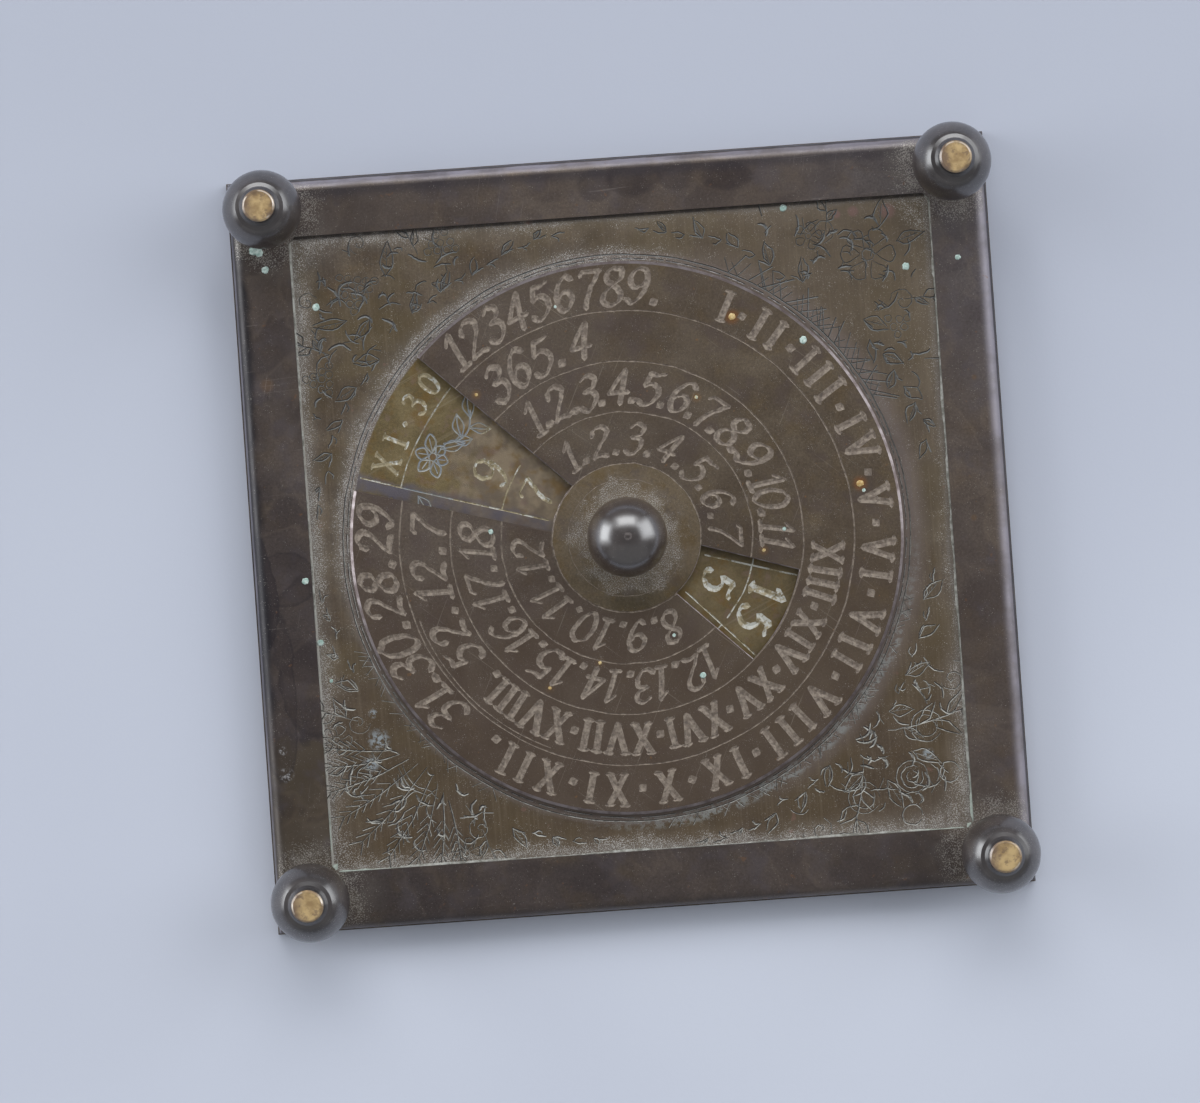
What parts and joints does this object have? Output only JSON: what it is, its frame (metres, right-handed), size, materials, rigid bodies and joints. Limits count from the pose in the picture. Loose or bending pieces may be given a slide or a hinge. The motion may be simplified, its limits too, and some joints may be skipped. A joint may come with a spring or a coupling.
{
  "type": "perpetual desk calendar",
  "caption": "Square metal perpetual calendar with a turning windowed disc over an engraved dial plate, a ball knob at the pivot and turned balls at the corners.",
  "frame": {"origin": "middle of the back face, which is the lowest plane of the part", "axes": "+Z out of the engraved face, +X to the right of the face, +Y to its top"},
  "size_m": [0.12, 0.12, 0.0191],
  "materials": {
    "back_metal": "dark brown patina, satin",
    "frame_metal": "dark purple-brown patina, satin",
    "dial_metal": "olive-brown patina, engraved, satin",
    "disc_metal": "grey-brown patina, engraved, satin",
    "ball_metal": "near-black patina, polished",
    "screw_metal": "dull brass",
    "washer_metal": "bare brass"
  },
  "bodies": {
    "base": {"back_plate": "back_metal", "dial_plate": "dial_metal", "frame_rail_top": "frame_metal", "frame_rail_bottom": "frame_metal", "frame_rail_left": "frame_metal", "frame_rail_right": "frame_metal", "corner_ball_top_left": "ball_metal", "corner_ball_top_right": "ball_metal", "corner_ball_bottom_left": "ball_metal", "corner_ball_bottom_right": "ball_metal", "corner_screws": "screw_metal"},
    "disc": {"calendar_disc": "disc_metal", "centre_knob": "ball_metal", "disc_washer": "washer_metal", "spring_washer": "washer_metal", "pivot_washer": "washer_metal", "pivot_nut": "washer_metal"}
  },
  "joints": [
    {"name": "disc_turn", "type": "hinge", "parent": "base", "child": "disc", "pos_m": [-0.0007, -0.0008, 0.005], "axis": [0, 0, 1], "continuous": true}
  ]
}
